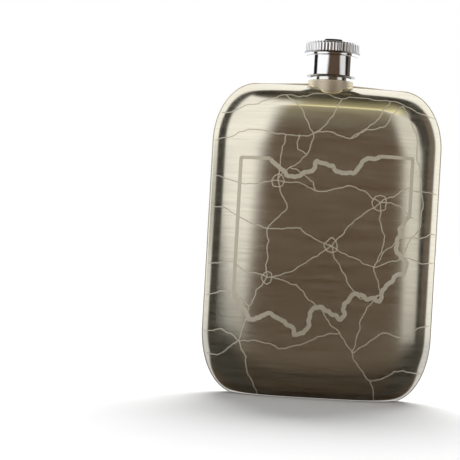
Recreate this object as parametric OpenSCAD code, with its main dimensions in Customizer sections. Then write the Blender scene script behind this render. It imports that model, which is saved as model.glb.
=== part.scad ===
// Hip flask: two drawn half shells welded round the middle, a threaded spout in a
// soldered collar, and a chromed screw cap with a ribbed grip ring.
// Upright on its flat base, +Z up, front face towards -Y, origin under the middle.

/* [Body] */
// Width across the sides
body_w = 85.6; // [76:0.2:110]
// Height of the body, from the base to the top edge
body_h = 116.6; // [100:0.2:140]
// Thickness, from the front panel to the back panel
body_t = 25.6; // [23:0.2:34]
// Thickness of the drawn sheet
wall = 0.7; // [0.5:0.1:1.2]
// How much lower the top edge is at its ends than at the neck
top_arch = 0.9; // [0:0.1:2]
// Half depth of the flat that the flask stands on
base_flat = 7; // [4:0.5:8]
// Fullness of the cross-section: higher is flatter in the middle
section_fullness = 3.4; // [3:0.1:4]
// Squareness of the rolled ends, where 2 is an ellipse
end_power = 2.6; // [2:0.1:3]

/* [Neck] */
// Outer radius of the collar
collar_r = 8.5; // [8:0.1:9]
// Height of the collar above the top edge
collar_rise = 2.0; // [1.6:0.1:5]
// Radius of the spout's bore
bore_r = 6.0; // [5:0.1:6.4]
// Length of the spout above the collar
spout_rise = 12.15; // [12:0.05:13]

/* [Screw thread] */
// Distance between neighbouring turns
pitch = 2.0; // [1.8:0.1:2.4]
// Turns of thread on the spout
spout_turns = 3; // [2:0.5:3]
// Turns of thread inside the cap
cap_turns = 1.5; // [1:0.5:2]

/* [Cap] */
// Outer radius of the cap's skirt
skirt_r = 9.3; // [9.3:0.1:9.6]
// Outer radius of the ribbed grip ring
grip_r = 10.6; // [10.6:0.1:12]
// Height of the ribbed part of the grip ring
grip_h = 3.8; // [3:0.1:5]
// Number of ribs round the grip ring
ribs = 48; // [36:2:60]
// Radius of the raised disc on top
disc_r = 6.9; // [5:0.1:8]
// Height of the raised disc above the cap
disc_rise = 1.2; // [1.1:0.1:2]

/* [Hidden] */
$fn = 96;

half_w = body_w / 2;
half_t = body_t / 2;
// The weld between the shells, and how far it stands proud of them
seam_t = 1.2;
seam_proud = 0.2;
seam_proud_neck = 0.9;
seam_depth = 0.7;
seam_y = seam_t / 2;
// Corner ellipses of the outline: width, height
bottom_corner = [14, 24];
top_corner = [15, 22];
// How far the rolled ends reach up and down the panel
bottom_roll = 20;
top_roll = 25;

// How the cross-section meets the seam: 1 at an angle, lower more squarely
section_edge = 0.8;
// Spreads the section's points towards the sides
section_spread = 0.85;

// Steps of the shell's surface: round the section, along a rolled end, along the panel
section_steps = 34;
roll_steps = 12;
panel_steps = 5;

collar_z0 = body_h - 5;
collar_z1 = body_h + collar_rise;
spout_z0 = body_h - 7;
spout_z1 = collar_z1 + spout_rise;
weld_r = 0.45;

// Thread: radii of the spout's root and crest, and of the liner's root and crest
spout_r = 7.2;
spout_crest_r = 7.9;
liner_r = 8.3;
liner_crest_r = 7.45;
thread_foot = 1.3;
thread_crest = 0.5;
thread_sink = 0.2;
thread_steps = 24;
// Plain shoulder at the foot of the spout, seen between the collar and the cap
shoulder_r = 7.6;
shoulder_h = 1.2;
spout_thread_z = collar_z1 + 4.1;
// The liner's turns lie half a pitch above the spout's
cap_thread_z = spout_thread_z - pitch / 2;

// Cap: sheet, its clearance over the collar, heights of its lip, grip ring and top
cap_wall = 0.5;
cap_gap = 1.45;
cap_z0 = collar_z1 + cap_gap;
lip_h = 0.8;
washer_gap = 0.05;
washer_h = 1.5;
washer_r = 8.6;
cap_top_z = spout_z1 + washer_gap + washer_h + cap_wall;
grip_z0 = cap_top_z - grip_h;
liner_outer_r = skirt_r - cap_wall;
// Grip ring: grooves between its ribs, with their centres a little outside it, the
// bevel on top and the plain step under it
groove_r = 0.4;
groove_out = 0.05;
grip_bevel = 0.75;
// How far the bevels on the ring and the disc lean in, for each millimetre of height
bevel_lean = 0.65;
grip_foot = 1.3;
grip_foot_r = skirt_r + 0.4;
disc_bevel = 0.95;
edge_round = 0.4;

// ---- outline and profile of the shells, where inset is 0 outside and the wall inside ----

// Quarter of an ellipse of a given power: 0 at u = 0, rising to 1 at u = 1
function quarter(u, power) = pow(max(0, 1 - pow(max(0, 1 - u), power)), 1 / power);

// Half width of the outline at height z
function outline_x(z, inset) =
    let (low = bottom_corner - [inset, inset], high = top_corner - [inset, inset])
    let (from_base = z - inset, from_top = body_h - inset - z)
    half_w - inset
        - (from_base < low[1] ? low[0] * (1 - quarter(from_base / low[1], 2)) : 0)
        - (from_top < high[1] ? high[0] * (1 - quarter(from_top / high[1], 2)) : 0);

// Half depth of the shell on its middle line at height z
function profile_y(z, inset) =
    let (from_base = z - inset, from_top = body_h - inset - z)
    from_base < bottom_roll - inset
        ? base_flat + (half_t - inset - base_flat)
            * quarter(from_base / (bottom_roll - inset), end_power)
    : from_top < top_roll - inset
        ? seam_y + (half_t - inset - seam_y)
            * quarter(from_top / (top_roll - inset), end_power)
    : half_t - inset;

// The gentle arch of the top edge, as a drop that fades out below mid height
function arch_drop(x, z) =
    top_arch * pow(x / half_w, 2) * pow(max(0, 2 * z / body_h - 1), 2);

// Heights of the surface's rows, closer together where the ends roll over
function row_heights(inset) = concat(
    [for (i = [0:roll_steps]) inset
        + (bottom_roll - inset) * (1 - pow(cos(90 * i / roll_steps), 2 / end_power))],
    [for (i = [1:panel_steps]) bottom_roll
        + (body_h - top_roll - bottom_roll) * i / panel_steps],
    [for (i = [1:roll_steps]) body_h - top_roll
        + (top_roll - inset) * pow(sin(90 * i / roll_steps), 2 / end_power)]);

// One row of the surface, from the right seam over the panel to the left seam
function row_points(z, inset) =
    let (a = outline_x(z, inset), b = profile_y(z, inset) - seam_y)
    [for (j = [0:section_steps])
        let (t = 180 * j / section_steps, c = cos(t))
        let (across = pow(abs(c), section_spread), x = a * sign(c) * across)
        let (rise = pow(1 - pow(across, section_fullness), section_edge))
        [x, -seam_y - b * rise, z - arch_drop(x, z)]];

function surface_points(inset) =
    [for (z = row_heights(inset)) each row_points(z, inset)];

// ---- modules for shapes that repeat ----

// One half shell facing -Y: outer skin, inner skin, flat base and the rim at the seam
module half_shell() {
    across = section_steps + 1;
    rows = 2 * roll_steps + panel_steps + 1;
    inner = rows * across;
    last = rows - 1;
    outer_skin = [for (i = [0:rows - 2], j = [0:section_steps - 1])
        let (p = i * across + j) each [[p, p + across, p + 1], [p + 1, p + across, p + across + 1]]];
    inner_skin = [for (f = outer_skin) [f[0] + inner, f[2] + inner, f[1] + inner]];
    base = [for (j = [0:section_steps]) j];
    base_inner = [for (j = [section_steps:-1:0]) inner + j];
    rim_right = [for (i = [0:rows - 2]) let (p = i * across)
        each [[p, p + inner, p + across], [p + across, p + inner, p + across + inner]]];
    rim_left = [for (i = [0:rows - 2]) let (p = i * across + section_steps)
        each [[p, p + across, p + inner], [p + across, p + across + inner, p + inner]]];
    rim_top = [for (j = [0:section_steps - 1]) let (p = last * across + j)
        each [[p, p + inner, p + 1], [p + 1, p + inner, p + 1 + inner]]];
    rim_base = [[0, section_steps, inner + section_steps], [0, inner + section_steps, inner]];
    difference() {
        polyhedron(concat(surface_points(0), surface_points(wall)),
            concat(outer_skin, inner_skin, [base, base_inner],
                rim_right, rim_left, rim_top, rim_base), convexity = 6);
        translate([0, 0, body_h - 12]) cylinder(r = collar_r, h = 20);
    }
}

// Outline of the body in the seam's plane, moved outwards by grow
function outline_points(grow) =
    let (zs = row_heights(0))
    let (right = [for (z = zs) [outline_x(z, 0), z - arch_drop(outline_x(z, 0), z)]])
    let (top = [for (i = [1:11]) let (x = outline_x(body_h, 0) * (1 - i / 6))
        [x, body_h - arch_drop(x, body_h)]])
    let (left = [for (i = [len(right) - 1:-1:0]) [-right[i][0], right[i][1]]])
    [for (p = concat(right, top, left))
        [p[0] * (1 + grow / half_w),
         p[1] * (1 + max(0, p[1] / body_h - 0.5) * 2 * grow / body_h)]];

// A helical ridge of trapezoid section, from a foot inside the wall to its crest
module thread(foot_r, crest_r, turns, z0) {
    rings = round(turns * thread_steps);
    side = crest_r > foot_r ? 1 : -1;
    sunk_r = foot_r - side * thread_sink;
    points = [for (i = [0:rings])
        let (t = 360 * i / thread_steps, z = z0 + pitch * i / thread_steps)
        let (fade = min(1, min(i + 1, rings - i + 1) / (thread_steps / 4)))
        let (r = foot_r + (crest_r - foot_r) * fade)
        each [for (q = [[sunk_r, -thread_foot], [r, -thread_crest], [r, thread_crest], [sunk_r, thread_foot]])
            [q[0] * cos(t), q[0] * sin(t), z + q[1] / 2]]];
    walls = [for (i = [0:rings - 1], k = [0:3])
        let (a = 4 * i + k, b = 4 * i + (k + 1) % 4)
        each [[a, b, a + 4], [b, b + 4, a + 4]]];
    ends = [[2, 1, 0], [3, 2, 0], [for (k = [0:2]) 4 * rings + k], [for (k = [0, 2, 3]) 4 * rings + k]];
    flip = [for (f = concat(walls, ends)) [for (i = [len(f) - 1:-1:0]) f[i]]];
    polyhedron(points, side > 0 ? concat(walls, ends) : flip, convexity = 8);
}

// ---- the pieces ----

module front_shell() {
    color("#6b5a48") half_shell();
}

module back_shell() {
    color("#655544") mirror([0, 1, 0]) half_shell();
}

// Ground weld that joins the two shells, a little proud of them and wider at the neck
module seam_weld() {
    color("#b3a894")
    difference() {
        translate([0, seam_y, 0]) rotate([90, 0, 0]) linear_extrude(seam_t)
            difference() {
                union() {
                    polygon(outline_points(seam_proud));
                    intersection() {
                        polygon(outline_points(seam_proud_neck));
                        translate([-1.8 * collar_r, body_h - 6]) square([3.6 * collar_r, 12]);
                    }
                }
                polygon([for (p = outline_points(-seam_depth)) [p[0], max(p[1], seam_depth)]]);
            }
        translate([0, 0, body_h - 12]) cylinder(r = collar_r, h = 20);
    }
}

// Collar that the spout stands in, let into the top of both shells
module neck_collar() {
    color("#aa9f89")
    translate([0, 0, collar_z0]) rotate_extrude()
        polygon([[spout_r, 0], [collar_r, 0], [collar_r, collar_z1 - collar_z0 - edge_round],
            [collar_r - edge_round, collar_z1 - collar_z0], [spout_r, collar_z1 - collar_z0]]);
}

// Height at which the collar's side meets the shell, at a half depth y
function saddle_z(y) =
    let (u = (max(abs(y), seam_y) - seam_y) / (half_t - seam_y))
    body_h - top_roll * (1 - pow(max(0, 1 - pow(u, end_power)), 1 / end_power));

// Brazed bead along the line where the collar meets the shells
module neck_weld() {
    rings = 48;
    sides = 8;
    points = [for (i = [0:rings - 1])
        let (t = 360 * i / rings, z = saddle_z(collar_r * cos(t)))
        each [for (k = [0:sides - 1])
            let (q = 360 * k / sides, r = collar_r + weld_r * cos(q))
            [r * sin(t), -r * cos(t), z + weld_r * sin(q)]]];
    walls = [for (i = [0:rings - 1], k = [0:sides - 1])
        let (n = (i + 1) % rings, m = (k + 1) % sides)
        let (a = i * sides + k, b = n * sides + k, c = n * sides + m, d = i * sides + m)
        each [[a, c, b], [a, d, c]]];
    color("#c2b68f") polyhedron(points, walls, convexity = 4);
}

// Spout with its rolled thread, open from the reservoir to its rim
module threaded_spout() {
    color("#9d9a94") {
        difference() {
            union() {
                translate([0, 0, spout_z0]) cylinder(r = spout_r, h = spout_z1 - spout_z0);
                translate([0, 0, collar_z1]) cylinder(r = shoulder_r, h = shoulder_h);
                thread(spout_r, spout_crest_r, spout_turns, spout_thread_z);
            }
            translate([0, 0, spout_z0 - 1]) cylinder(r = bore_r, h = spout_z1 - spout_z0 + 2);
        }
    }
}

// Drawn cup of the cap, open below, its edge turned in under the liner
module cap_shell() {
    color("#d8d8da")
    rotate_extrude()
        polygon([[liner_r, cap_z0], [skirt_r - edge_round, cap_z0],
            [skirt_r, cap_z0 + edge_round], [skirt_r, cap_top_z - edge_round],
            [skirt_r - edge_round, cap_top_z], [0, cap_top_z], [0, cap_top_z - cap_wall],
            [liner_outer_r, cap_top_z - cap_wall], [liner_outer_r, cap_z0 + lip_h],
            [liner_r, cap_z0 + lip_h]]);
}

// Ribbed ring that the fingers turn, pressed over the cup
module grip_ring() {
    color("#e2e2e4")
    translate([0, 0, grip_z0]) difference() {
        rotate_extrude()
            polygon([[skirt_r, -grip_foot], [grip_foot_r, -grip_foot], [grip_foot_r, 0],
                [grip_r, 0], [grip_r, grip_h - grip_bevel],
                [grip_r - grip_bevel * bevel_lean, grip_h], [skirt_r, grip_h]]);
        for (i = [0:ribs - 1]) rotate([0, 0, 360 * i / ribs])
            translate([0, -grip_r - groove_out, -grip_foot / 2])
                cylinder(r = groove_r, h = grip_foot + grip_h, $fn = 16);
    }
}

// Raised disc fixed on top of the cap
module cap_top_disc() {
    color("#dedee0")
    translate([0, 0, cap_top_z]) rotate_extrude()
        polygon([[0, 0], [disc_r, 0], [disc_r, disc_rise - disc_bevel],
            [disc_r - disc_bevel * bevel_lean, disc_rise], [0, disc_rise]]);
}

// Threaded insert that carries the cap on the spout
module thread_liner() {
    liner_z0 = cap_z0 + lip_h;
    liner_z1 = spout_z1;
    color("#c9bf9f") {
        difference() {
            translate([0, 0, liner_z0]) cylinder(r = liner_outer_r, h = liner_z1 - liner_z0);
            translate([0, 0, liner_z0 - 1]) cylinder(r = liner_r, h = liner_z1 - liner_z0 + 2);
        }
        thread(liner_r, liner_crest_r, cap_turns, cap_thread_z);
    }
}

// Soft washer in the top of the cap that closes on the spout's rim
module seal_washer() {
    color("#e9e6dc")
    translate([0, 0, spout_z1 + washer_gap]) cylinder(r = washer_r, h = washer_h);
}

front_shell();
back_shell();
seam_weld();
neck_collar();
neck_weld();
threaded_spout();
cap_shell();
grip_ring();
cap_top_disc();
thread_liner();
seal_washer();
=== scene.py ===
import math
import random

import bmesh
import bpy
import numpy as np
from mathutils import Matrix, Vector


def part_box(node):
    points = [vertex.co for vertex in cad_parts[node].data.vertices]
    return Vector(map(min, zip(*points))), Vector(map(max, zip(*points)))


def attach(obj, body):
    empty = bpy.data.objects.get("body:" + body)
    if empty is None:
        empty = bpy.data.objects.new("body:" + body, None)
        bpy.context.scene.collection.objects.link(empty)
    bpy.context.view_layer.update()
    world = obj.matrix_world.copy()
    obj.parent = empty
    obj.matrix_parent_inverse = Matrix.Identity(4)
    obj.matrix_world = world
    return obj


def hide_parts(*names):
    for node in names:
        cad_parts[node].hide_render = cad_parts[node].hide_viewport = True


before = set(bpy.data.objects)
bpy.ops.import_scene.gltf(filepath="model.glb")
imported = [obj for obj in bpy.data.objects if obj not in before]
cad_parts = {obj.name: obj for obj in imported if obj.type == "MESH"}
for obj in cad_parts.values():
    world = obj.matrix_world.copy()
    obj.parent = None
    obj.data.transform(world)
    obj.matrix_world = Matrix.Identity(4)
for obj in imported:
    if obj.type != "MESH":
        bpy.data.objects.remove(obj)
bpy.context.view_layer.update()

# Hip flask: two brushed half shells welded round the middle, a satin neck collar and a
# chromed screw cap. Shapes are worked out in millimetres and scaled when they are made.

MM = 0.001


def node_box(name):
    """Lowest and highest corner of a CAD node, in millimetres."""
    low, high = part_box(name)
    return low / MM, high / MM


# ---- sizes read from the frame ----

shell_low, shell_high = node_box("front_shell")
HALF_W = shell_high.x
HALF_T = -shell_low.y
BODY_H = shell_high.z
SEAM_Y = -shell_high.y
collar_low, collar_high = node_box("neck_collar")
COLLAR_R = collar_high.x
COLLAR_Z0, COLLAR_Z1 = collar_low.z, collar_high.z
spout_low, spout_high = node_box("threaded_spout")
SPOUT_Z0, SPOUT_Z1 = spout_low.z, spout_high.z
cap_low, cap_high = node_box("cap_shell")
SKIRT_R = cap_high.x
CAP_Z0, CAP_TOP = cap_low.z, cap_high.z
grip_low, grip_high = node_box("grip_ring")
GRIP_R = grip_high.x
GRIP_FOOT = 1.3      # the step under the ribs, as in the CAD model
GRIP_Z0, GRIP_Z1 = grip_low.z + GRIP_FOOT, grip_high.z
disc_high = node_box("cap_top_disc")[1]
DISC_R, DISC_TOP = disc_high.x, disc_high.z
liner_low, liner_high = node_box("thread_liner")
LINER_OUTER_R = liner_high.x
LINER_Z0, LINER_Z1 = liner_low.z, liner_high.z
washer_low, washer_high = node_box("seal_washer")

# ---- sizes that the CAD model shares ----

WALL = 0.7
BASE_FLAT = 7.0
TOP_ARCH = 0.9
SECTION_FULLNESS = 3.4
SECTION_EDGE = 0.8
SECTION_SPREAD = 0.85
END_POWER = 2.6
BOTTOM_CORNER = (14.0, 24.0)
TOP_CORNER = (15.0, 22.0)
BOTTOM_ROLL = 20.0
TOP_ROLL = 25.0
PITCH = 2.0
BORE_R = 6.0
SPOUT_R = 7.2
SPOUT_CREST_R = 7.9
LINER_R = 8.3
LINER_CREST_R = 7.45
THREAD_FOOT = 1.3
THREAD_CREST = 0.5
SPOUT_TURNS = 3.0
CAP_TURNS = 1.5
SPOUT_THREAD_Z = COLLAR_Z1 + 4.1
CAP_THREAD_Z = SPOUT_THREAD_Z - PITCH / 2
SHOULDER_R = 7.6
SHOULDER_H = 1.2
RIBS = 48
RIB_DEPTH = 0.18
GROOVE_DEPTH = 0.3
BEVEL_LEAN = 0.65
GRIP_BEVEL = 0.75
DISC_BEVEL = 0.95

# A hair's gap between neighbouring pieces, which also serves as the tolerance in comparisons
GAP = 0.01
# Keeps a division from failing on a leg without length
TINY = 1e-9


# ---- the pillow: the shells' surface as a formula ----

# Soft creases where the rolled ends meet the panel: distance from the end, how much
# further it lies at the corners, change of slope, radius of the crest, reach
TOP_CREASE = (8.3, 0.017, 0.22, 0.30, 4.5)
BOTTOM_CREASE = (9.2, 0.003, 0.09, 0.6, 5.0)
# Both bend from here outwards, and have ended at this distance from the middle
CREASE_BEND_FROM = 16.0
CREASE_END, CREASE_END_FADE = 36.0, 8.0
# How far from its crest a crease has died out, and how near the body's end it fades
CREASE_FADED = 60.0
CREASE_RIM_FADE = 3.0
# How much squarer the tops of the shells are beside the neck's tongue. The change comes in
# from the tongue's middle, goes out again further along, and fades below the top edge.
TONGUE_PINCH = 0.4
PINCH_IN, PINCH_OUT = (1.4, 4.4), (7.0, 12.0)
PINCH_BELOW = (0.8, 4.0)


def quarter(u, power):
    """Quarter of an ellipse of a given power: 0 at u = 0, rising to 1 at u = 1."""
    u = np.clip(u, 0.0, 1.0)
    return (1.0 - (1.0 - u) ** power) ** (1.0 / power)


def crease(distance, x, place, bend, slope, radius, reach):
    """A low ridge with a narrow crest, which fades out on both sides and at its ends."""
    place = place + bend * np.maximum(0, np.abs(x) - CREASE_BEND_FROM) ** 2
    d2 = (distance - place) ** 2
    rest = np.sqrt(CREASE_FADED ** 2 + reach ** 2) - np.sqrt(CREASE_FADED ** 2 + radius ** 2)
    height = slope / 2 * (np.sqrt(d2 + reach ** 2) - np.sqrt(d2 + radius ** 2) - rest)
    ends = np.clip((CREASE_END - np.abs(x)) / CREASE_END_FADE, 0, 1)
    ends = ends * np.clip(distance / CREASE_RIM_FADE, 0, 1)
    return height * ends * ends * (3 - 2 * ends)


def relief(x, z):
    """What the two creases add to the depth of the surface."""
    return crease(BODY_H - z, x, *TOP_CREASE) + crease(z, x, *BOTTOM_CREASE)


def outline_x(z, inset=0.0):
    """Half width of the outline at height z."""
    low = np.subtract(BOTTOM_CORNER, inset)
    high = np.subtract(TOP_CORNER, inset)
    from_base, from_top = z - inset, BODY_H - inset - z
    return (HALF_W - inset
            - low[0] * (1 - quarter(from_base / low[1], 2))
            - high[0] * (1 - quarter(from_top / high[1], 2)))


def smooth_step(value, start, end):
    """0 up to the start and 1 from the end on, with a smooth change between."""
    t = np.clip((value - start) / (end - start), 0, 1)
    return t * t * (3 - 2 * t)


def pinch(x, from_top):
    """How much squarer the shells' tops are beside the neck's tongue, 0 to 1."""
    away = np.abs(x)
    beside = smooth_step(away, *PINCH_IN) * (1 - smooth_step(away, *PINCH_OUT))
    return beside * (1 - smooth_step(from_top, *PINCH_BELOW))


def profile_y(z, inset=0.0, x=0.0):
    """Half depth of the shell at height z; x only matters beside the neck."""
    from_base, from_top = z - inset, BODY_H - inset - z
    full = HALF_T - inset
    low = BASE_FLAT + (full - BASE_FLAT) * quarter(from_base / (BOTTOM_ROLL - inset), END_POWER)
    power = END_POWER + TONGUE_PINCH * pinch(x, from_top)
    high = SEAM_Y + (full - SEAM_Y) * quarter(from_top / (TOP_ROLL - inset), power)
    return np.where(from_base < BOTTOM_ROLL, low, np.where(from_top < TOP_ROLL, high, full))


def arch_drop(x, z):
    """How much lower the top edge lies away from the neck, fading out below mid height."""
    return TOP_ARCH * (x / HALF_W) ** 2 * np.maximum(0, 2 * z / BODY_H - 1) ** 2


def surface_y(x, z, inset=0.0):
    """Depth of the front surface, measured towards the viewer, over a point of the outline."""
    across = np.clip(np.abs(x) / outline_x(z, inset), 0, 1)
    lift = (1 - across ** SECTION_FULLNESS) ** SECTION_EDGE
    return SEAM_Y + (profile_y(z, inset, x) - SEAM_Y) * lift + relief(x, z)


def on_shell(x, z, proud=0.0):
    """The point of the front panel over (x, z), moved out of the surface by proud."""
    step = 0.05
    slope_x = (surface_y(x + step, z) - surface_y(x - step, z)) / (2 * step)
    slope_z = (surface_y(x, z + step) - surface_y(x, z - step)) / (2 * step)
    normal = np.stack([-slope_x, -np.ones_like(x), -slope_z], -1)
    normal /= np.linalg.norm(normal, axis=-1, keepdims=True)
    point = np.stack([x, -surface_y(x, z), z - arch_drop(x, z)], -1)
    return point + normal * proud


# ---- mesh helpers ----

def mend(mesh, gap=0.0):
    """Joins points closer than the gap, in millimetres, and turns all faces outwards."""
    work = bmesh.new()
    work.from_mesh(mesh)
    if gap:
        bmesh.ops.remove_doubles(work, verts=work.verts, dist=gap * MM)
    bmesh.ops.recalc_face_normals(work, faces=work.faces)
    work.to_mesh(mesh)
    work.free()


def make_object(name, points, faces, sharp_angle=40.0, uvs=None):
    """A mesh object from points in millimetres, smooth apart from edges over an angle."""
    mesh = bpy.data.meshes.new(name)
    mesh.from_pydata([tuple(p) for p in np.asarray(points) * MM], [], faces)
    mesh.validate()
    mend(mesh)
    if uvs is not None:
        layer = mesh.uv_layers.new(name="UVMap")
        loop_vertex = np.empty(len(mesh.loops), np.int32)
        mesh.loops.foreach_get("vertex_index", loop_vertex)
        layer.data.foreach_set("uv", np.asarray(uvs)[loop_vertex].astype(np.float32).ravel())
    mesh.polygons.foreach_set("use_smooth", [True] * len(mesh.polygons))
    mesh.set_sharp_from_angle(angle=math.radians(sharp_angle))
    obj = bpy.data.objects.new(name, mesh)
    bpy.context.scene.collection.objects.link(obj)
    return obj


def grid_faces(rows, columns, wrap_rows=False, wrap_columns=False, start=0, flip=False):
    """Quads over a grid of points that is stored row by row."""
    faces = []
    for i in range(rows if wrap_rows else rows - 1):
        for j in range(columns if wrap_columns else columns - 1):
            i2, j2 = (i + 1) % rows, (j + 1) % columns
            quad = (start + i * columns + j, start + i * columns + j2,
                    start + i2 * columns + j2, start + i2 * columns + j)
            faces.append(quad[::-1] if flip else quad)
    return faces


SHARP = 1e-4        # a corner with a smaller radius stays sharp
LEG_SHARE = 0.49    # the most that a rounded corner takes of a leg


def rounded(corners, radius=0.2, steps=4):
    """A closed profile with each corner rounded by a short curve."""
    out = []
    count = len(corners)
    for i in range(count):
        p = np.array(corners[i][:2], float)
        r = corners[i][2] if len(corners[i]) > 2 else radius
        a = np.array(corners[i - 1][:2], float) - p
        b = np.array(corners[(i + 1) % count][:2], float) - p
        la, lb = np.linalg.norm(a), np.linalg.norm(b)
        cut = min(r, la * LEG_SHARE, lb * LEG_SHARE)
        if cut < SHARP:
            out.append(p)
            continue
        start, end = p + a / la * cut, p + b / lb * cut
        for k in range(steps + 1):
            t = k / steps
            out.append((1 - t) ** 2 * start + 2 * t * (1 - t) * p + t ** 2 * end)
    return np.array(out)


def densify(profile, spacing):
    """Adds points along the long edges of a closed profile."""
    out = []
    for p, q in zip(profile, np.roll(profile, -1, 0)):
        count = max(1, int(np.linalg.norm(q - p) / spacing))
        out += [p + (q - p) * k / count for k in range(count)]
    return np.array(out)


def lathe(name, profile, segments=192, shape=None, sharp_angle=35.0):
    """A closed ring of revolution from a closed profile of (radius, height)."""
    angles = np.linspace(0, 2 * math.pi, segments, endpoint=False)
    r = np.repeat(profile[None, :, 0], segments, 0)
    z = np.repeat(profile[None, :, 1], segments, 0)
    a = np.repeat(angles[:, None], len(profile), 1)
    if shape is not None:
        r = shape(r, z, a)
    points = np.stack([r * np.cos(a), r * np.sin(a), z], -1).reshape(-1, 3)
    faces = grid_faces(segments, len(profile), wrap_rows=True, wrap_columns=True)
    return make_object(name, points, faces, sharp_angle)


def turned_disc(name, profile, segments=192, sharp_angle=35.0):
    """A solid of revolution whose open profile starts and ends on the axis."""
    angles = np.linspace(0, 2 * math.pi, segments, endpoint=False)
    ring = profile[1:-1]
    points = [(0, 0, profile[0][1]), (0, 0, profile[-1][1])]
    for a in angles:
        points += [(r * math.cos(a), r * math.sin(a), z) for r, z in ring]
    faces = grid_faces(segments, len(ring), wrap_rows=True, start=2)
    for i in range(segments):
        this, after = 2 + i * len(ring), 2 + (i + 1) % segments * len(ring)
        faces.append((0, after, this))
        faces.append((1, this + len(ring) - 1, after + len(ring) - 1))
    return make_object(name, points, faces, sharp_angle)


def place(obj, body, slot, material, *nodes):
    """The piece rides on a body, stands for CAD nodes and takes its finish."""
    obj.data.materials.append(material)
    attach(obj, body)
    if nodes:
        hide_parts(*nodes)
    return obj


# ---- node helpers for materials ----

# The colour sockets of a Mix node, by number because it repeats their names
MIX_A, MIX_B, MIX_RESULT = 6, 7, 2


class Nodes:
    """A short way to build a shader tree."""

    def __init__(self, tree):
        self.tree = tree

    def add(self, kind, **values):
        """A new node with some of its settings."""
        node = self.tree.nodes.new(kind)
        for key, value in values.items():
            setattr(node, key, value)
        return node

    def link(self, source, target):
        """Joins one node's output to another's input."""
        self.tree.links.new(source, target)

    def math(self, operation, a, b=None, c=None):
        """A calculation on numbers and on values from other nodes."""
        node = self.add("ShaderNodeMath", operation=operation)
        for i, value in enumerate((a, b, c)):
            if value is None:
                continue
            if isinstance(value, (int, float)):
                node.inputs[i].default_value = value
            else:
                self.link(value, node.inputs[i])
        return node.outputs[0]

    def noise(self, scale, detail=2.0, stretch=(1, 1, 1), roughness=0.5):
        """Noise over the object's own coordinates, in noise cells per millimetre."""
        coord = self.add("ShaderNodeTexCoord")
        mapping = self.add("ShaderNodeMapping")
        mapping.inputs["Scale"].default_value = [s / MM for s in stretch]
        self.link(coord.outputs["Object"], mapping.inputs["Vector"])
        noise = self.add("ShaderNodeTexNoise")
        noise.inputs["Scale"].default_value = scale
        noise.inputs["Detail"].default_value = detail
        noise.inputs["Roughness"].default_value = roughness
        self.link(mapping.outputs[0], noise.inputs["Vector"])
        return noise.outputs["Fac"]

    def spread(self, value, low, high):
        """Noise from 0.3 to 0.7 mapped on to low to high."""
        node = self.add("ShaderNodeMapRange")
        for name, number in (("From Min", 0.3), ("From Max", 0.7), ("To Min", low), ("To Max", high)):
            node.inputs[name].default_value = number
        self.link(value, node.inputs["Value"])
        return node.outputs[0]

    def blend(self, share, first, second):
        """The first colour where the share is 0, and the second where it is 1."""
        node = self.add("ShaderNodeMix", data_type="RGBA")
        self.link(share, node.inputs[0])
        for socket, value in ((MIX_A, first), (MIX_B, second)):
            if isinstance(value, tuple):
                node.inputs[socket].default_value = (*value, 1)
            else:
                self.link(value, node.inputs[socket])
        return node.outputs[MIX_RESULT]

    def mottle(self, noise, dark, light):
        """A colour that follows a noise from dark to light."""
        return self.blend(self.spread(noise, 0, 1), dark, light)


def new_material(name, metallic):
    """A material, its shader tree and its main shader."""
    material = bpy.data.materials.new(name)
    material.use_nodes = True
    tree = material.node_tree
    shader = tree.nodes["Principled BSDF"]
    shader.inputs["Metallic"].default_value = metallic
    return material, Nodes(tree), shader


def bump(n, shader, height, strength, distance):
    """A bump map for the shader; the distance is the bumps' height in millimetres."""
    node = n.add("ShaderNodeBump")
    node.inputs["Strength"].default_value = strength
    node.inputs["Distance"].default_value = distance * MM
    n.link(height, node.inputs["Height"])
    n.link(node.outputs[0], shader.inputs["Normal"])


# ---- materials ----

HAZE_SHARE = 0.09       # share of the matt haze in the brushed shell's finish


def brushed_shell():
    """Champagne steel brushed from side to side: a clear reflection over a faint warm haze."""
    material, n, shader = new_material("brushed_pewter_steel", 1.0)
    grain = n.noise(1.0, 3.0, (0.05, 0.05, 3.2), 0.65)
    streak = n.noise(1.0, 3.0, (0.045, 0.045, 1.5), 0.6)
    lines = n.noise(1.0, 4.0, (0.05, 0.05, 0.7), 0.7)
    cloud = n.noise(1.0, 2.0, (0.03, 0.03, 0.03))
    n.link(n.mottle(streak, (0.77, 0.73, 0.615), (0.85, 0.81, 0.68)), shader.inputs["Base Color"])
    rough = n.math("ADD", n.spread(grain, 0.12, 0.17), n.spread(cloud, -0.01, 0.01))
    n.link(rough, shader.inputs["Roughness"])
    shader.inputs["Anisotropic"].default_value = 0.35
    tangent = n.add("ShaderNodeTangent", direction_type="UV_MAP")
    tangent.uv_map = "UVMap"
    n.link(tangent.outputs[0], shader.inputs["Tangent"])
    bump(n, shader, streak, strength=0.10, distance=0.004)
    add_haze(n, shader, lines)
    return material


def add_haze(n, shader, lines):
    """Gives the shader's metal a share of matt, warm light with faint lines in it."""
    haze = n.add("ShaderNodeBsdfDiffuse")
    n.link(n.mottle(lines, (0.28, 0.20, 0.11), (1.0, 0.89, 0.68)), haze.inputs["Color"])
    mixed = n.add("ShaderNodeMixShader")
    mixed.inputs[0].default_value = HAZE_SHARE
    n.link(shader.outputs[0], mixed.inputs[1])
    n.link(haze.outputs[0], mixed.inputs[2])
    n.link(mixed.outputs[0], n.tree.nodes["Material Output"].inputs["Surface"])


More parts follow.
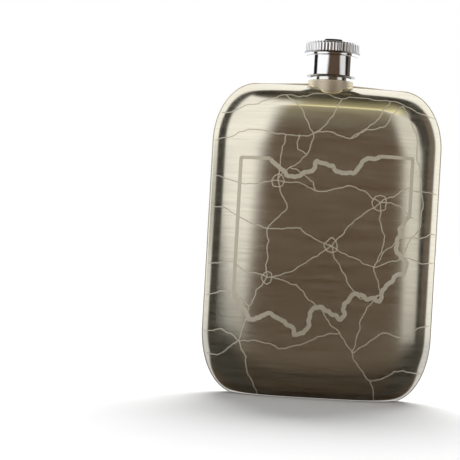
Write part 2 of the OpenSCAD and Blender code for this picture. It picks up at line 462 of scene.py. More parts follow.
def satin_steel(name, dark, light, rough, grain_stretch):
    """Ground or turned steel with a soft sheen."""
    material, n, shader = new_material(name, 1.0)
    grain = n.noise(1.0, 3.0, grain_stretch)
    cloud = n.noise(1.0, 2.0, (0.25, 0.25, 0.25))
    n.link(n.mottle(cloud, dark, light), shader.inputs["Base Color"])
    n.link(n.spread(grain, rough - 0.06, rough + 0.06), shader.inputs["Roughness"])
    bump(n, shader, grain, strength=0.3, distance=0.008)
    return material


def polished_chrome():
    """Bright chrome with faint smears and hairline wear."""
    material, n, shader = new_material("polished_chrome", 1.0)
    smear = n.noise(1.0, 3.0, (0.22, 0.22, 0.22))
    hair = n.noise(1.0, 2.0, (0.6, 0.6, 9.0))
    n.link(n.mottle(smear, (0.86, 0.86, 0.87), (0.93, 0.93, 0.94)), shader.inputs["Base Color"])
    rough = n.math("ADD", n.spread(smear, 0.045, 0.085), n.spread(hair, 0.0, 0.03))
    n.link(rough, shader.inputs["Roughness"])
    wear = n.math("ADD", smear, n.math("MULTIPLY", hair, 0.1))
    bump(n, shader, wear, strength=0.15, distance=0.02)
    return material


def etched_finish():
    """Laser-etched steel: matt, pale and a little grainy."""
    material, n, shader = new_material("etched_matte", 0.5)
    grain = n.noise(1.0, 2.0, (6.0, 6.0, 6.0))
    n.link(n.mottle(grain, (0.66, 0.60, 0.47), (0.78, 0.72, 0.58)), shader.inputs["Base Color"])
    n.link(n.spread(grain, 0.36, 0.48), shader.inputs["Roughness"])
    bump(n, shader, grain, strength=0.4, distance=0.01)
    return material


def soft_silicone():
    """Off-white silicone rubber."""
    material, n, shader = new_material("silicone_washer", 0.0)
    grain = n.noise(1.0, 3.0, (1.5, 1.5, 1.5))
    n.link(n.mottle(grain, (0.70, 0.67, 0.60), (0.78, 0.75, 0.69)), shader.inputs["Base Color"])
    n.link(n.spread(grain, 0.5, 0.65), shader.inputs["Roughness"])
    bump(n, shader, grain, strength=0.3, distance=0.02)
    return material


SHELL = brushed_shell()
SEAM = satin_steel("ground_weld", (0.66, 0.60, 0.50), (0.76, 0.70, 0.60), 0.42, (2.0, 2.0, 2.0))
COLLAR = satin_steel("satin_collar", (0.80, 0.70, 0.54), (0.90, 0.80, 0.63), 0.48, (0.3, 0.3, 7.0))
BEAD = satin_steel("brazed_bead", (0.84, 0.76, 0.50), (0.92, 0.85, 0.60), 0.22, (1.5, 1.5, 1.5))
SPOUT = satin_steel("turned_spout", (0.80, 0.79, 0.77), (0.88, 0.87, 0.85), 0.12, (0.3, 0.3, 8.0))
LINER = satin_steel("turned_liner", (0.70, 0.62, 0.42), (0.80, 0.73, 0.52), 0.3, (0.3, 0.3, 8.0))
CHROME = polished_chrome()
ETCH = etched_finish()
SILICONE = soft_silicone()


# ---- the shells ----

SECTION_STEPS = 180
ROLL_STEPS = 44
PANEL_STEPS = 36
# Extra rows across each crease, by their distance from its crest
TOP_CREASE_ROWS = np.linspace(-1.0, 3.6, 34)
BOTTOM_CREASE_ROWS = np.linspace(-1.0, 1.6, 12)
UV_SPAN = 100.0         # millimetres to one unit of the texture coordinates
# The hole for the collar, and the height of the cylinder that cuts it
HOLE_R = COLLAR_R - 0.02
CUTTER_FOOT, CUTTER_H = COLLAR_Z0 - 6, 20
SLIVER_GAP = 0.004      # the cut leaves thin slivers, whose points are joined


def row_heights(inset):
    """Heights of the surface's rows, close together where the ends roll over and crease."""
    t = np.linspace(0, math.pi / 2, ROLL_STEPS + 1)
    low = inset + (BOTTOM_ROLL - inset) * (1 - np.cos(t) ** (2 / END_POWER))
    high = BODY_H - TOP_ROLL + (TOP_ROLL - inset) * np.sin(t[1:]) ** (2 / END_POWER)
    middle = np.linspace(BOTTOM_ROLL, BODY_H - TOP_ROLL, PANEL_STEPS + 1)[1:]
    creases = [BODY_H - TOP_CREASE[0] - TOP_CREASE_ROWS, BOTTOM_CREASE[0] + BOTTOM_CREASE_ROWS]
    return np.unique(np.round(np.concatenate([low, middle, high, *creases]), 4))


def skin(heights, inset):
    """Points of one skin of the front shell, row by row from the base."""
    c = np.cos(np.linspace(0, math.pi, SECTION_STEPS + 1))
    across = np.abs(c) ** SECTION_SPREAD
    z = heights[:, None]
    x = outline_x(z, inset) * np.sign(c) * across
    lift = (1 - across ** SECTION_FULLNESS) ** SECTION_EDGE
    y = SEAM_Y + (profile_y(z, inset, x) - SEAM_Y) * lift
    return np.stack([x, -y - relief(x, z), z - arch_drop(x, z)], -1)


def shell_faces(rows, columns):
    """Faces of both skins of a half shell, and of its base and edges."""
    shift = rows * columns
    faces = grid_faces(rows, columns, flip=True)
    faces += grid_faces(rows, columns, start=shift)
    faces.append(tuple(range(columns)))
    faces.append(tuple(shift + j for j in reversed(range(columns))))
    for i in range(rows - 1):
        right, left = i * columns, i * columns + columns - 1
        faces.append((right, right + shift, right + columns + shift, right + columns))
        faces.append((left, left + columns, left + columns + shift, left + shift))
    for j in range(columns - 1):
        top = (rows - 1) * columns + j
        faces.append((top, top + shift, top + 1 + shift, top + 1))
    faces.append((0, columns - 1, shift + columns - 1, shift))
    return faces


def half_shell(name, side):
    """A closed half shell; side is 1 for the front and -1 for the back."""
    outer_z = row_heights(0.0)
    inner_z = WALL + outer_z / BODY_H * (BODY_H - 2 * WALL)
    outer, inner = skin(outer_z, 0.0), skin(inner_z, WALL)
    points = np.concatenate([outer.reshape(-1, 3), inner.reshape(-1, 3)])
    uvs = points[:, [2, 0]] / UV_SPAN
    faces = shell_faces(*outer.shape[:2])
    if side < 0:
        faces = [f[::-1] for f in faces]
    obj = make_object(name, points * (1, side, 1), faces, 50.0, uvs)
    cut_neck_hole(obj)
    return obj


def cut_neck_hole(obj):
    """Opens the top of a shell for the collar."""
    profile = np.array([[0, 0], [HOLE_R, 0], [HOLE_R, CUTTER_H], [0, CUTTER_H]], float)
    cutter = turned_disc("neck_cutter", profile + (0, CUTTER_FOOT), 96)
    change = obj.modifiers.new("neck", "BOOLEAN")
    change.operation = "DIFFERENCE"
    change.solver = "EXACT"
    change.object = cutter
    bpy.context.view_layer.update()
    result = obj.evaluated_get(bpy.context.evaluated_depsgraph_get())
    cut = bpy.data.meshes.new_from_object(result)
    mend(cut, SLIVER_GAP)
    obj.modifiers.clear()
    obj.data = cut
    bpy.data.objects.remove(cutter)


# ---- the seam ----

# Size of the bead in millimetres, and what it gains beside the neck: how far it stands
# proud of the outline, how deep it is sunk into it, and half its thickness
SEAM_PROUD, SEAM_PROUD_GAIN = 0.3, 0.55
SEAM_SUNK, SEAM_SUNK_GAIN = 0.55, 0.3
SEAM_HALF, SEAM_HALF_GAIN = 0.75, 0.6
SEAM_GAIN_REACH = 16    # how far from the collar it is back to its plain size
SEAM_NECK_DEPTH = 5     # how far below the top it counts as beside the neck
SEAM_FOOT = 0.4         # up to this height the bead is flush with the outline
SEAM_EDGE_STEPS = 60    # points along the base, and along the top
SEAM_SIDES = 14
SEAM_ROUNDNESS = 0.8


def outline_loop():
    """The outline in the seam's plane, counterclockwise from the right end of the base."""
    z = row_heights(0.0)
    a = outline_x(z)
    right = np.stack([a, z - arch_drop(a, z)], -1)
    x = np.linspace(a[-1], -a[-1], SEAM_EDGE_STEPS)[1:-1]
    top = np.stack([x, BODY_H - arch_drop(x, np.full_like(x, BODY_H))], -1)
    left = right[::-1] * (-1, 1)
    x = np.linspace(-a[0], a[0], SEAM_EDGE_STEPS)[1:-1]
    base = np.stack([x, np.zeros_like(x)], -1)
    return np.concatenate([right, top, left, base])


def outward(loop):
    """Unit vectors that point out of a counterclockwise loop."""
    along = np.roll(loop, -1, 0) - np.roll(loop, 1, 0)
    along /= np.linalg.norm(along, axis=1, keepdims=True)
    return np.stack([along[:, 1], -along[:, 0]], -1)


def beside_neck(loop):
    """How much a point of the outline counts as beside the neck, 0 to 1."""
    near = np.clip(1 - (np.abs(loop[:, 0]) - COLLAR_R) / SEAM_GAIN_REACH, 0, 1)
    near = near * (loop[:, 1] > BODY_H - SEAM_NECK_DEPTH)
    return near * near * (3 - 2 * near)


def seam_bead():
    """The ground weld round the body: a low half-round band, wider towards the neck."""
    loop = outline_loop()
    near, height = beside_neck(loop), loop[:, 1]
    proud = SEAM_PROUD + SEAM_PROUD_GAIN * near
    proud = np.where(height < SEAM_FOOT, 0.0, np.minimum(proud, 0.02 + height))
    sunk = SEAM_SUNK + SEAM_SUNK_GAIN * near
    half = SEAM_HALF + SEAM_HALF_GAIN * near
    turns = np.linspace(0, 2 * math.pi, SEAM_SIDES, endpoint=False)
    points = []
    for (x, z), (ox, oz), p, s, h in zip(loop, outward(loop), proud, sunk, half):
        for t in turns:
            reach = math.copysign(abs(math.cos(t)) ** SEAM_ROUNDNESS, math.cos(t))
            reach = reach * p if reach > 0 else reach * s
            points.append((x + ox * reach, h * math.sin(t), max(0.0, z + oz * reach)))
    faces = grid_faces(len(loop), len(turns), wrap_rows=True, wrap_columns=True)
    return make_object("seam_bead", points, faces, 60.0)


# ---- the neck ----

# Radius of the brazed bead, how much less it is at the sides, and over which angles from
# the middle of a tongue, in degrees
BEAD_THICK, BEAD_LESS = 0.38, 0.24
BEAD_FADE = (22, 40)


HALVINGS = 40       # steps of the search for the height of a surface


def saddle_z(x, depth):
    """Height at which the shell's surface is a given depth in front of the middle plane."""
    low = np.full_like(x, BODY_H - TOP_ROLL)
    high = np.full_like(x, BODY_H)
    for _ in range(HALVINGS):
        middle = (low + high) / 2
        inside = surface_y(x, middle) > depth
        low, high = np.where(inside, middle, low), np.where(inside, high, middle)
    z = (low + high) / 2
    return z - arch_drop(x, z)


def neck_bead():
    """The brazed bead round the collar, thick round its tongues and thin at the sides."""
    steps, sides = 360, 10
    angle = np.linspace(0, 2 * math.pi, steps, endpoint=False)
    x, y = COLLAR_R * np.sin(angle), COLLAR_R * np.cos(angle)
    middle = np.stack([x, -y, saddle_z(x, np.maximum(np.abs(y), SEAM_Y))], -1)
    along = np.roll(middle, -1, 0) - np.roll(middle, 1, 0)
    along /= np.linalg.norm(along, axis=1, keepdims=True)
    outward = np.stack([np.sin(angle), -np.cos(angle), 0 * angle], -1)
    aside = np.cross(along, outward)
    off_middle = np.abs(np.degrees(np.arcsin(np.sin(angle))))
    thick = (BEAD_THICK - BEAD_LESS * smooth_step(off_middle, *BEAD_FADE))[:, None, None]
    around = np.linspace(0, 2 * math.pi, sides, endpoint=False)[None, :, None]
    ring = outward[:, None] * np.cos(around) + aside[:, None] * np.sin(around)
    points = (middle[:, None] + ring * thick).reshape(-1, 3)
    faces = grid_faces(steps, sides, wrap_rows=True, wrap_columns=True)
    return make_object("neck_bead", points, faces, 60.0)


def collar():
    """The satin ring between the shells and the cap. Corners: radius, height, rounding."""
    profile = rounded([
        (SPOUT_R + GAP, COLLAR_Z0, 0.1), (COLLAR_R, COLLAR_Z0, 0.1),
        (COLLAR_R, COLLAR_Z1, 0.3), (SPOUT_R + GAP, COLLAR_Z1, 0.1)])
    return lathe("neck_collar_turned", profile)


# ---- threads ----

ROW = 0.12              # spacing of a threaded part's rows, in millimetres
THREAD_ROW = 0.05       # and along its thread
BORE_ROW = 1.5          # and in its plain bore


def ridge(z, angle, start_z, turns):
    """Height of a right-handed thread's ridge, 0 to 1, round a turned part."""
    angle = np.mod(angle, 2 * math.pi)
    turn = np.round((z - start_z) / PITCH - angle / (2 * math.pi))
    wound = angle + 2 * math.pi * turn
    away = np.abs(z - start_z - PITCH * wound / (2 * math.pi))
    fade = np.clip(np.minimum(wound, 2 * math.pi * turns - wound) / (math.pi / 2), 0, 1)
    return (1 - smooth_step(away, THREAD_CREST / 2, THREAD_FOOT / 2)) * fade


def levels(z0, z1, spacing):
    """Even heights from z0 to z1, about the spacing apart."""
    return np.linspace(z0, z1, int(round((z1 - z0) / spacing)) + 1)


def thread_levels(z0, z1, start_z, turns):
    """Heights of a threaded part's rows, closest together along its thread."""
    low = max(start_z - THREAD_FOOT, z0 + ROW)
    high = min(start_z + PITCH * turns + THREAD_FOOT, z1 - ROW)
    return np.concatenate([levels(z0, low, ROW), levels(low, high, THREAD_ROW)[1:],
                           levels(high, z1, ROW)[1:]])


def spout():
    """The tube that the drink runs through: thread and shoulder outside, rolled rim on top."""
    rows = thread_levels(SPOUT_Z0 + 0.2, SPOUT_Z1 - 0.35, SPOUT_THREAD_Z, SPOUT_TURNS)
    outer = [(SPOUT_R, z) for z in rows]
    rim = [(SPOUT_R - 0.06, SPOUT_Z1 - 0.15), (SPOUT_R - 0.25, SPOUT_Z1 - 0.02),
           (SPOUT_R - 0.4, SPOUT_Z1), (BORE_R + 0.3, SPOUT_Z1),
           (BORE_R + 0.12, SPOUT_Z1 - 0.05), (BORE_R, SPOUT_Z1 - 0.25)]
    inner = [(BORE_R, z) for z in levels(SPOUT_Z0 + 0.2, SPOUT_Z1 - 0.8, BORE_ROW)[::-1]]
    foot = [(BORE_R + 0.15, SPOUT_Z0), (SPOUT_R - 0.15, SPOUT_Z0)]

    def shape(r, z, a):
        outside = r > SPOUT_R - GAP
        height = (SPOUT_CREST_R - SPOUT_R) * ridge(z, a, SPOUT_THREAD_Z, SPOUT_TURNS)
        shoulder = (z > COLLAR_Z1 + GAP) & (z < COLLAR_Z1 + SHOULDER_H)
        return r + np.where(outside, height + (SHOULDER_R - SPOUT_R) * shoulder, 0)

    profile = np.array(outer + rim + inner + foot)
    return lathe("spout_turned", profile, segments=180, shape=shape, sharp_angle=50.0)


def liner():
    """The threaded insert in the cap, with its thread inside and small bevels at its ends."""
    outer_r, bevel = LINER_OUTER_R - GAP, 0.1
    low, high = LINER_Z0 + bevel, LINER_Z1 - bevel
    outer = [(outer_r, low), (outer_r, high), (outer_r - bevel, LINER_Z1), (LINER_R + bevel, LINER_Z1)]
    inner = [(LINER_R, z) for z in thread_levels(low, high, CAP_THREAD_Z, CAP_TURNS)[::-1]]
    foot = [(LINER_R + bevel, LINER_Z0), (outer_r - bevel, LINER_Z0)]

    def shape(r, z, a):
        height = (LINER_R - LINER_CREST_R) * ridge(z, a, CAP_THREAD_Z, CAP_TURNS)
        return r - np.where(r < LINER_R + GAP, height, 0)

    profile = np.array(outer + inner + foot)
    return lathe("liner_turned", profile, segments=180, shape=shape, sharp_angle=50.0)


# ---- the cap ----

LIP_R, LIP_INNER_R = 8.35, 8.2
STEPS_PER_RIB = 18
GROOVE_FROM = 0.75      # where a groove starts: 0 is a rib's middle, 1 is halfway to the next
NEAR_AXIS = 0.5         # rounded corners this near the axis give way to a point on it


def cap_cup():
    """The drawn cup: a plain skirt with a rounded lip, open below."""
    inner_r, ceiling = LINER_OUTER_R + GAP, washer_high.z + GAP
    outline = rounded([
        (LIP_R, CAP_Z0, 0.05), (SKIRT_R - 0.2, CAP_Z0, 0.2), (SKIRT_R, CAP_Z0 + 0.35, 0.15),
        (SKIRT_R, CAP_TOP, 0.5)], 0.2, 5)
    profile = [(0, ceiling), (inner_r, ceiling), (inner_r, LINER_Z0 - GAP)]
    profile += [(LIP_INNER_R, LINER_Z0 - 0.35)] + [tuple(p) for p in outline[:-1]]
    profile += [(SKIRT_R - 0.5, CAP_TOP), (0, CAP_TOP)]
    return turned_disc("cap_cup", np.array(profile), segments=224)


def grip():
    """The ring of convex ribs and narrow grooves, with a bevel on top and a step under it."""
    inner, step_r, foot = SKIRT_R + 0.005, SKIRT_R + 0.4, GRIP_Z0 - GRIP_FOOT
    profile = rounded([
        (inner, foot, 0.03), (SKIRT_R + 0.1, foot, 0.04),
        (step_r, foot + 0.2, 0.1), (step_r, GRIP_Z0 - 0.2, 0.12),
        (GRIP_R - 0.4, GRIP_Z0 - 0.05, 0.1), (GRIP_R, GRIP_Z0 + 0.12, 0.12),
        (GRIP_R, GRIP_Z1 - GRIP_BEVEL, 0.12), (GRIP_R - GRIP_BEVEL * BEVEL_LEAN, GRIP_Z1, 0.12),
        (inner, GRIP_Z1, 0.05)], 0.08)

    def shape(r, z, a):
        across = np.abs(2 * np.mod(a * RIBS / (2 * math.pi) + 0.5, 1) - 1)
        depth = RIB_DEPTH * across ** 2 + GROOVE_DEPTH * smooth_step(across, GROOVE_FROM, 1.0)
        return r - depth * smooth_step(r, GRIP_R - 0.7, GRIP_R - 0.3)

    profile = densify(profile, spacing=0.3)
    return lathe("cap_grip_ribbed", profile, RIBS * STEPS_PER_RIB, shape, sharp_angle=32.0)


def top_disc():
    """The raised disc on top of the cap, with a bevel round it."""
    edge = rounded([
        (0.0, CAP_TOP), (DISC_R, CAP_TOP, 0.05), (DISC_R, DISC_TOP - DISC_BEVEL, 0.1),
        (DISC_R - DISC_BEVEL * BEVEL_LEAN, DISC_TOP, 0.15), (0.0, DISC_TOP)], 0.2, 6)
    middle = [tuple(p) for p in edge if p[0] > NEAR_AXIS]
    return turned_disc("cap_disc", np.array([(0, CAP_TOP + 0.005)] + middle + [(0, DISC_TOP)]))


def washer():
    """The soft washer: a plain disc with rounded edges."""
    r, low, high, edge = washer_high.x, washer_low.z, washer_high.z, 0.25
    profile = rounded([(0, low), (r, low, edge), (r, high, edge), (0, high)], edge)
    middle = [tuple(p) for p in profile if p[0] > NEAR_AXIS]
    return turned_disc("washer_soft", np.array([(0, low)] + middle + [(0, high)]), segments=96)


# ---- the etched lines ----

WANDER_ROUNDS = 4       # how often each leg of a line is halved
ETCH_SPACING = 0.4      # distance between the points of a line
PANEL_MARGIN = 0.6      # how far from the seam the lines end
# Ribbons take turns at nine heights, so that few share a surface where they cross
ETCH_PROUD, ETCH_RISE, ETCH_LAYERS = 0.010, 0.0015, 9
ETCH_CROWN, ETCH_SUNK = 0.004, -0.04


def wander(points, seed, amount):
    """A hand-drawn line: each leg is halved and nudged aside a few times."""
    draw = random.Random(seed)
    line = [np.array(p, float) for p in points]
    for _ in range(WANDER_ROUNDS):
        out = []
        for p, q in zip(line, line[1:]):
            leg = q - p
            length = np.linalg.norm(leg)
            nudge = draw.uniform(-1, 1) * amount * length
            aside = np.array([-leg[1], leg[0]]) / (length + TINY)
            out += [p, (p + q) / 2 + aside * nudge]
        line = out + [line[-1]]
    return np.array(line)


def resample(line, spacing):
    """The same line with evenly spaced points."""
    steps = np.linalg.norm(np.diff(line, axis=0), axis=1)
    along = np.concatenate([[0], np.cumsum(steps)])
    count = max(2, int(along[-1] / spacing) + 1)
    at = np.linspace(0, along[-1], count)
    return np.stack([np.interp(at, along, line[:, k]) for k in (0, 1)], -1)


def inside_panel(line, margin):
    """The stretches of a line that lie on the panel, away from the seam."""
    keep = (np.abs(line[:, 0]) < outline_x(line[:, 1]) - margin) & (line[:, 1] > margin) \
        & (line[:, 1] < BODY_H - margin)
    runs, run = [], []
    for point, good in zip(line, keep):
        if good:
            run.append(point)
        elif run:
            runs.append(np.array(run))
            run = []
    if run:
        runs.append(np.array(run))
    return [r for r in runs if len(r) > 3]


class EtchedLines:
    """Collects ribbons that follow the front panel, a hair proud of it."""

    def __init__(self):
        self.points, self.faces, self.count = [], [], 0

    def add(self, line, width):
        """Adds the parts of a line that lie on the panel."""
        for run in inside_panel(resample(line, ETCH_SPACING), PANEL_MARGIN):
            self.ribbon(run, width)

    def ribbon(self, run, width):
        """Adds one closed ribbon along a run of points."""
        self.count += 1
        proud = ETCH_PROUD + ETCH_RISE * (self.count % ETCH_LAYERS)
        along = np.gradient(run, axis=0)
        along /= np.linalg.norm(along, axis=1, keepdims=True) + TINY
        aside = np.stack([-along[:, 1], along[:, 0]], -1) * width / 2
        section = ((-1, ETCH_SUNK), (-1, proud), (0, proud + ETCH_CROWN), (1, proud), (1, ETCH_SUNK))
        rings = []
        for shift, lift in section:
            edge = run + aside * shift
            rings.append(on_shell(edge[:, 0], edge[:, 1], lift))
        ring = np.stack(rings, 1)
        start = len(self.points)
        self.points += list(ring.reshape(-1, 3))
        rows, columns = ring.shape[:2]
        self.faces += grid_faces(rows, columns, wrap_columns=True, start=start)
        self.faces.append(tuple(start + j for j in reversed(range(columns))))
        self.faces.append(tuple(start + (rows - 1) * columns + j for j in range(columns)))


ROAD_WIDTH = 0.38
BORDER_WIDTH = 1.3
RIVER_WIDTH = 1.6
# How far the lines stray, as a share of their legs, and where their random numbers start
ROAD_WANDER, RING_WANDER, RIVER_WANDER = 0.10, 0.05, 0.20
ROAD_SEED, RING_SHAPE_SEED, RING_SEED, RIVER_SEED = 100, 200, 300, 7
RING_CORNERS = 8
RING_STRETCH = 1.15     # how much taller than wide a ring road is

# An invented road network: towns and waypoints in millimetres, across and up from the base
ROADS = [
    [(-44, 104), (-30, 108), (-17, 112), (4, 111.5), (14, 112.4), (30, 110), (44, 106)],
    [(-6, 98), (-10, 106), (-17, 112)],
    [(-6, 98), (1, 105), (4, 111.5)],
    [(-6, 98), (8, 97), (17, 104), (22, 111.6)],
    [(8, 97), (20, 102), (27, 110.5)],
    [(-6, 98), (-16, 97), (-30, 98.5), (-44, 94)],
    [(-6, 98), (-8, 90), (-14, 85), (-18, 80)],
    [(-16, 97), (-17.5, 88), (-18, 80)],
    [(-11, 97.5), (-11.5, 92), (-8, 90)],
    [(-18, 80), (-14, 70), (-21, 62), (-20, 44), (-26, 33), (-29, 20), (-25, 8), (-20, -2)],
    [(-18, 80), (-4, 77), (9, 79.5), (20, 74), (30, 80), (44, 78)],
    [(-14, 85), (-5, 80), (-4, 77)],
    [(20, 74), (11, 67), (3, 57), (-8, 49), (-20, 44)],
    [(20, 74), (22.5, 62), (19, 50), (22, 40), (15, 29), (13, 18), (20, 8), (22, -2)],
    [(3, 57), (12, 53), (19, 50), (30, 54), (44, 52)],
    [(19, 50), (28, 61), (44, 64)],
    [(3, 57), (-9, 63), (-21, 62), (-32, 66), (-44, 70)],
    [(3, 57), (9, 46), (15, 38), (22, 40)],
    [(-20, 44), (-9, 42), (1, 33), (8, 25), (13, 18)],
    [(-29, 20), (-14, 18), (0, 23.5), (8, 25)],
    [(13, 18), (24, 26), (33, 25), (44, 30)],
    [(-29, 20), (-36, 24), (-44, 22)],
    [(-29, 20), (-37, 14), (-44, 15)],
    [(20, 8), (29, 12), (44, 13)],
    [(-20, 44), (-32, 49), (-44, 48)],
    [(30, 54), (36, 66), (35, 84), (33, 97), (27, 110.5)],
    [(-18, 80), (-30, 78), (-44, 82)],
    [(-26, 33), (-35, 38), (-44, 36)],
    [(20, 74), (28, 73), (33, 69)],
]
# Place and radius of the ring roads round four of the towns
RING_ROADS = [(3, 57, 2.6), (20, 74, 2.9), (-18, 80, 2.2), (-20, 44, 2.0)]
STRAIGHT_BORDERS = [
    [(-21, 88), (-32, 88), (-32, 38)],
    [(19, 91), (31.5, 91), (31.5, 70)],
]
RIVER_BORDERS = [
    [(-21, 88), (-12, 81.5), (-4, 88), (7, 84), (13, 89), (19, 91)],
    [(31.5, 70), (27, 58), (30.5, 48), (22, 37.5), (13, 40), (8, 30), (-2, 34), (-9, 23.5),
     (-18, 31), (-26, 28), (-32, 38)],
]


def ring_road(x, z, radius, seed):
    """A closed, slightly uneven loop round a town."""
    draw = random.Random(seed)
    turns = np.linspace(0, 2 * math.pi, RING_CORNERS + 1)
    reach = [radius * draw.uniform(0.8, 1.15) for _ in turns[:-1]]
    return [(x + r * math.cos(t), z + r * RING_STRETCH * math.sin(t))
            for r, t in zip(reach + reach[:1], turns)]


def etched_map():
    """All the etched lines of the front panel as one piece."""
    lines = EtchedLines()
    for i, road in enumerate(ROADS):
        lines.add(wander(road, ROAD_SEED + i, ROAD_WANDER), ROAD_WIDTH)
    for i, ring in enumerate(RING_ROADS):
        loop = ring_road(*ring, RING_SHAPE_SEED + i)
        lines.add(wander(loop, RING_SEED + i, RING_WANDER), ROAD_WIDTH)
    for border in STRAIGHT_BORDERS:
        lines.add(np.array(border, float), BORDER_WIDTH)
    for i, border in enumerate(RIVER_BORDERS):
        lines.add(wander(border, RIVER_SEED + i, RIVER_WANDER), RIVER_WIDTH)
    return make_object("etched_roads", lines.points, lines.faces, 60.0)


# ---- make the pieces ----

place(half_shell("front_shell_brushed", 1), "flask", "shell", SHELL, "front_shell")
place(half_shell("back_shell_brushed", -1), "flask", "shell", SHELL, "back_shell")
place(etched_map(), "flask", "shell", ETCH)
place(seam_bead(), "flask", "weld", SEAM, "seam_weld")
place(collar(), "flask", "collar", COLLAR, "neck_collar")
place(neck_bead(), "flask", "weld", BEAD, "neck_weld")
place(spout(), "flask", "spout", SPOUT, "threaded_spout")
place(washer(), "washer", "washer", SILICONE, "seal_washer")
place(cap_cup(), "cap", "cap", CHROME, "cap_shell")
place(grip(), "cap", "cap", CHROME, "grip_ring")
place(top_disc(), "cap", "cap", CHROME, "cap_top_disc")
place(liner(), "cap", "liner", LINER, "thread_liner")


# ---- stage, light and camera ----

def stage_floor():
    """White paper under the flask, which is left out of the metal's reflections."""
    size = 6.0 / MM
    points = np.array([(-size, -size, 0), (size, -size, 0), (size, size, 0), (-size, size, 0)])
    floor = make_object("stage_floor", points, [(0, 1, 2, 3)])
    material, n, shader = new_material("white_paper", 0.0)
    grain = n.noise(0.05, 2.0)
    n.link(n.blend(grain, (0.93, 0.93, 0.93), (0.95, 0.95, 0.95)), shader.inputs["Base Color"])
    shader.inputs["Roughness"].default_value = 0.9
    shader.inputs["Specular IOR Level"].default_value = 0.0
    floor.data.materials.append(material)
    floor.visible_glossy = False


WHITE = (1.1, 1.1, 1.1)
BRIGHT = (1.17, 1.17, 1.17)
SOFT = (1.0, 1.0, 1.0)
PAPER = (0.72, 0.73, 0.78)
BLACK = (0.014, 0.014, 0.012)
BROWN_PATCH = (0.130, 0.100, 0.080)
GREY_WHITE = (0.78, 0.77, 0.75)
DIM_WHITE = (0.30, 0.30, 0.29)

# The middle of the room from straight down to straight up: degrees and colours
COLUMN = [
    (-90, (0.012, 0.008, 0.005)), (-60, (0.015, 0.009, 0.005)), (-48, (0.026, 0.015, 0.007)),
    (-34, (0.040, 0.026, 0.015)), (-22, (0.022, 0.013, 0.008)), (-16, (0.032, 0.021, 0.013)),
    (-10, (0.085, 0.064, 0.046)), (-4.6, (0.130, 0.104, 0.078)), (-3.6, (0.062, 0.042, 0.029)),
    (0, (0.102, 0.064, 0.042)), (10, (0.092, 0.062, 0.044)), (16, (0.115, 0.092, 0.068)),
    (24, (0.19, 0.165, 0.12)), (31, (0.36, 0.33, 0.23)), (37, (0.60, 0.55, 0.37)),
    (40, (1.15, 1.08, 0.66)), (47, (1.15, 1.08, 0.66)), (50, (0.48, 0.44, 0.27)),
    (56, (0.26, 0.23, 0.13)), (62, (0.09, 0.08, 0.045)), (68, (0.022, 0.020, 0.013)),
    (76, (0.030, 0.026, 0.017)), (82, (0.085, 0.070, 0.046)), (90, (0.085, 0.070, 0.046))]


class Sky(Nodes):
    """Builds what the metal reflects, out of soft-edged panels laid over each other."""

    def __init__(self, tree):
        super().__init__(tree)
        direction = self.add("ShaderNodeSeparateXYZ")
        self.link(self.add("ShaderNodeTexCoord").outputs["Generated"], direction.inputs[0])
        self.x, self.y, self.z = direction.outputs
        towards = self.math("MULTIPLY", self.y, -1)
        self.azimuth = self.math("DEGREES", self.math("ARCTAN2", self.x, towards))
        self.elevation = self.math("DEGREES", self.math("ARCSINE", self.z))

    def above(self, value, edge, blur):
        """0 below the edge and 1 above it, with a soft change over twice the blur."""
        node = self.add("ShaderNodeMapRange", interpolation_type="SMOOTHSTEP")
        node.inputs["From Min"].default_value = edge - blur
        node.inputs["From Max"].default_value = edge + blur
        self.link(value, node.inputs["Value"])
        return node.outputs[0]

    def below(self, value, edge, blur):
        """1 below the edge and 0 above it, with the same soft change."""
        return self.math("SUBTRACT", 1.0, self.above(value, edge, blur))

    def both(self, *masks):
        """The area that all the masks share."""
        result = masks[0]
        for mask in masks[1:]:
            result = self.math("MULTIPLY", result, mask)
        return result

    def panel(self, left, right, low, high, blur=2.0):
        """A panel between two azimuths and two elevations."""
        return self.both(self.above(self.azimuth, left, blur), self.below(self.azimuth, right, blur),
                         self.above(self.elevation, low, blur), self.below(self.elevation, high, blur))

    def lay(self, base, colour, mask):
        """A colour laid over the base where the mask is 1."""
        return self.blend(mask, base, colour)

    def column(self, stops):
        """Colours from straight down to straight up."""
        node = self.add("ShaderNodeValToRGB")
        self.link(self.math("MULTIPLY_ADD", self.elevation, 1 / 180, 0.5), node.inputs[0])
        elements = node.color_ramp.elements
        elements.remove(elements[-1])
        for i, (degree, colour) in enumerate(stops):
            spot = degree / 180 + 0.5
            element = elements[0] if i == 0 else elements.new(spot)
            element.position = spot
            element.color = (*colour, 1)
        return node.outputs[0]


def background(n, colour, strength):
    """Light of a plain colour, or of one that comes from other nodes."""
    node = n.add("ShaderNodeBackground")
    if isinstance(colour, tuple):
        node.inputs[0].default_value = (*colour, 1)
    else:
        n.link(colour, node.inputs[0])
    node.inputs[1].default_value = strength
    return node.outputs[0]


def slanted(n, slope, level, slope_above=0.0):
    """The azimuth, shifted in proportion to how far the elevation lies from a level."""
    under = n.math("MAXIMUM", n.math("SUBTRACT", level, n.elevation), 0.0)
    over = n.math("MAXIMUM", n.math("SUBTRACT", n.elevation, level), 0.0)
    return n.math("MULTIPLY_ADD", under, slope, n.math("MULTIPLY_ADD", over, slope_above, n.azimuth))


def left_window(n):
    """The tall window at the viewer's left, in degrees of azimuth and elevation."""
    outer = n.above(slanted(n, slope=-8.0, level=0.4), edge=-72.5, blur=2.0)
    inner = n.below(slanted(n, slope=1.8, level=5.0, slope_above=-0.3), edge=-19.0, blur=6.5)
    foot = n.above(n.elevation, edge=-2.1, blur=0.5)
    return n.both(outer, inner, foot, n.below(n.elevation, edge=58, blur=3))


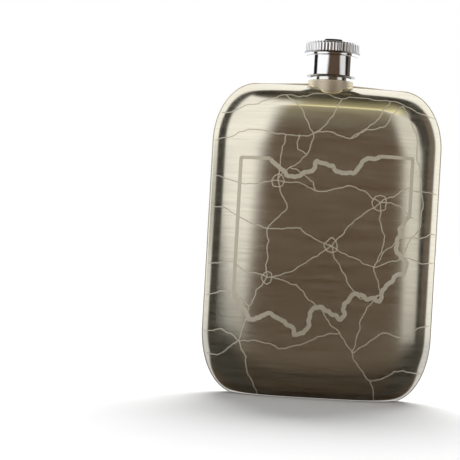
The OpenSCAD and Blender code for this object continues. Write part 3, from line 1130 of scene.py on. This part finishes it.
def right_window(n):
    """The lower window at the viewer's right."""
    inner = n.above(slanted(n, slope=-1.9, level=5.0, slope_above=0.35), edge=34.5, blur=5.0)
    outer = n.below(slanted(n, slope=-1.0, level=6.0), edge=61.5, blur=2.5)
    foot = n.above(n.elevation, edge=-3.6, blur=0.4)
    return n.both(inner, outer, foot, n.below(n.elevation, edge=41, blur=5))


def reflected_room(n):
    """A white ground behind, a dark room in front, two windows and a warm light above."""
    column = n.column(COLUMN)
    ground = n.lay(BRIGHT, PAPER, n.below(n.elevation, -3, 2))
    ground = n.lay(ground, DIM_WHITE, n.panel(-112, -84, -1.0, 2.5, 1.0))
    room = n.lay(BLACK, BROWN_PATCH, n.panel(78, 110, -3, 36))
    middle = n.both(n.above(n.azimuth, -38, 12), n.below(n.azimuth, 52, 12))
    room = n.lay(room, column, middle)
    room = n.lay(room, WHITE, left_window(n))
    room = n.lay(room, GREY_WHITE, right_window(n))
    edge = n.math("MULTIPLY_ADD", n.x, -0.015, n.y)
    table = n.below(n.math("MULTIPLY_ADD", n.y, 0.6, n.z), -0.27, 0.04)
    front = n.below(edge, 0.055, 0.03)
    shown = n.lay(ground, column, table)
    return n.lay(shown, room, front)


SOFT_STRENGTH = 0.40        # of the white that lights matt surfaces


def studio():
    """White to the camera, soft white on matt surfaces, and a room in the reflections."""
    world = bpy.data.worlds.new("studio")
    bpy.context.scene.world = world
    world.use_nodes = True
    world.node_tree.nodes.clear()
    n = Sky(world.node_tree)
    sky = reflected_room(n)
    path = n.add("ShaderNodeLightPath")

    first = n.add("ShaderNodeMixShader")
    n.link(path.outputs["Is Glossy Ray"], first.inputs[0])
    n.link(background(n, SOFT, SOFT_STRENGTH), first.inputs[1])
    n.link(background(n, sky, 1.0), first.inputs[2])
    second = n.add("ShaderNodeMixShader")
    n.link(path.outputs["Is Camera Ray"], second.inputs[0])
    n.link(first.outputs[0], second.inputs[1])
    n.link(background(n, SOFT, 1.0), second.inputs[2])
    output = n.add("ShaderNodeOutputWorld")
    n.link(second.outputs[0], output.inputs[0])


SUN_ENERGY = 3.95
SUN_WIDTH = 50              # apparent width of the light, in degrees
SUN_TILT, SUN_ROLL = -50, -6
LENS_LENGTH = 125.2
CAMERA_PLACE = (-0.0346, -0.6016, 0.0607)
CAMERA_ROLL = 3.3


def key_light():
    """Soft daylight from behind and above, which lays the shadow in front of the base."""
    light = bpy.data.lights.new("soft_sun", "SUN")
    light.energy = SUN_ENERGY
    light.angle = math.radians(SUN_WIDTH)
    obj = bpy.data.objects.new("soft_sun", light)
    obj.rotation_euler = (math.radians(SUN_TILT), 0, math.radians(SUN_ROLL))
    obj.visible_glossy = False
    bpy.context.scene.collection.objects.link(obj)


def camera():
    """A long lens square to the front panel, a little left of it and rolled."""
    data = bpy.data.cameras.new("camera")
    data.sensor_width = 36.0
    data.lens = LENS_LENGTH
    obj = bpy.data.objects.new("camera", data)
    obj.matrix_world = (Matrix.Translation(CAMERA_PLACE)
                        @ Matrix.Rotation(math.radians(90), 4, "X")
                        @ Matrix.Rotation(math.radians(CAMERA_ROLL), 4, "Z"))
    bpy.context.scene.collection.objects.link(obj)
    bpy.context.scene.camera = obj


stage_floor()
studio()
key_light()
camera()
bpy.context.scene.view_settings.view_transform = "Standard"
